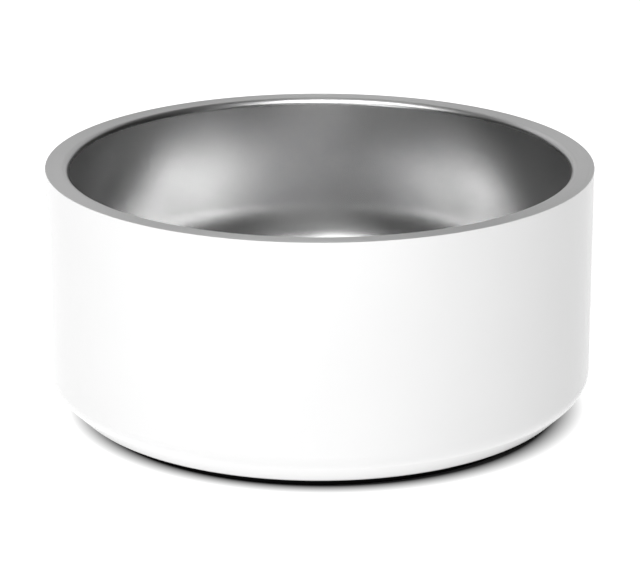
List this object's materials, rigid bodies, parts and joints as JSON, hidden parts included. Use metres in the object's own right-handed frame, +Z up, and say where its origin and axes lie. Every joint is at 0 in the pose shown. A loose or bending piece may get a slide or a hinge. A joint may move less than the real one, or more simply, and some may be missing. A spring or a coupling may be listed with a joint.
{
  "type": "pet bowl",
  "caption": "Double-wall steel pet bowl with a straight white-coated outside, a flat bare rim, a satin inside with a rounded floor corner, and a rubber foot ring.",
  "frame": {"origin": "middle of the base, on the surface that the bowl stands on", "axes": "+Z up along the bowl's axis, towards its mouth; the bowl is round, so X and Y are any two directions across it"},
  "size_m": [0.2, 0.2, 0.093],
  "materials": {
    "satin_steel": "even satin",
    "white_coat": "smooth satin powder coat",
    "weld_steel": "ground weld",
    "black_rubber": "matte moulded rubber",
    "bond": "clear adhesive film"
  },
  "bodies": {
    "root": {"inner_bowl": "satin_steel", "outer_shell": "white_coat", "rim_weld": "weld_steel", "closing_disc": "satin_steel", "base_weld": "weld_steel", "foot_ring": "black_rubber", "ring_adhesive": "bond"}
  },
  "joints": []
}
